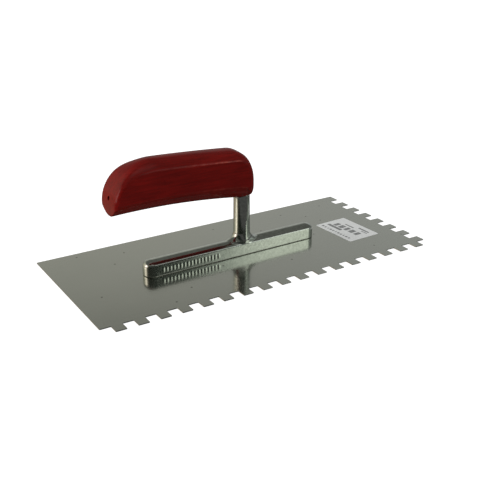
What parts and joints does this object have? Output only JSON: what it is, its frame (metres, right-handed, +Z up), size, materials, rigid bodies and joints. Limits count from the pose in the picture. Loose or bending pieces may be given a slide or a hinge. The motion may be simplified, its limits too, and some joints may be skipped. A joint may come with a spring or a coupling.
{
  "type": "notched trowel",
  "caption": "Hand trowel for spreading tile adhesive: thin rectangular steel blade with square teeth on one long and one short edge, cast post mount and a rounded red wooden handle.",
  "frame": {"origin": "centre of the blade's underside", "axes": "+X along the blade's long side towards the notched short edge, +Z up from the blade to the handle, the notched long edge at -Y"},
  "size_m": [0.28, 0.13, 0.0892],
  "materials": {
    "blade_steel": "cold-rolled spring steel sheet, satin, faintly mirror-like",
    "cast_alloy": "tumbled aluminium casting, satin with polished edges",
    "rivet_steel": "ground flush, bright",
    "red_wood": "turned hardwood under dark red gloss lacquer",
    "label_paper": "paper sticker, matt white with grey print"
  },
  "bodies": {
    "root": {"blade": "blade_steel", "mounting": "cast_alloy", "handle": "red_wood", "handle_pin": "rivet_steel", "label": "label_paper", "blade_rivet_1": "rivet_steel", "blade_rivet_2": "rivet_steel", "blade_rivet_3": "rivet_steel", "blade_rivet_4": "rivet_steel", "blade_rivet_5": "rivet_steel", "blade_rivet_6": "rivet_steel"}
  },
  "joints": []
}
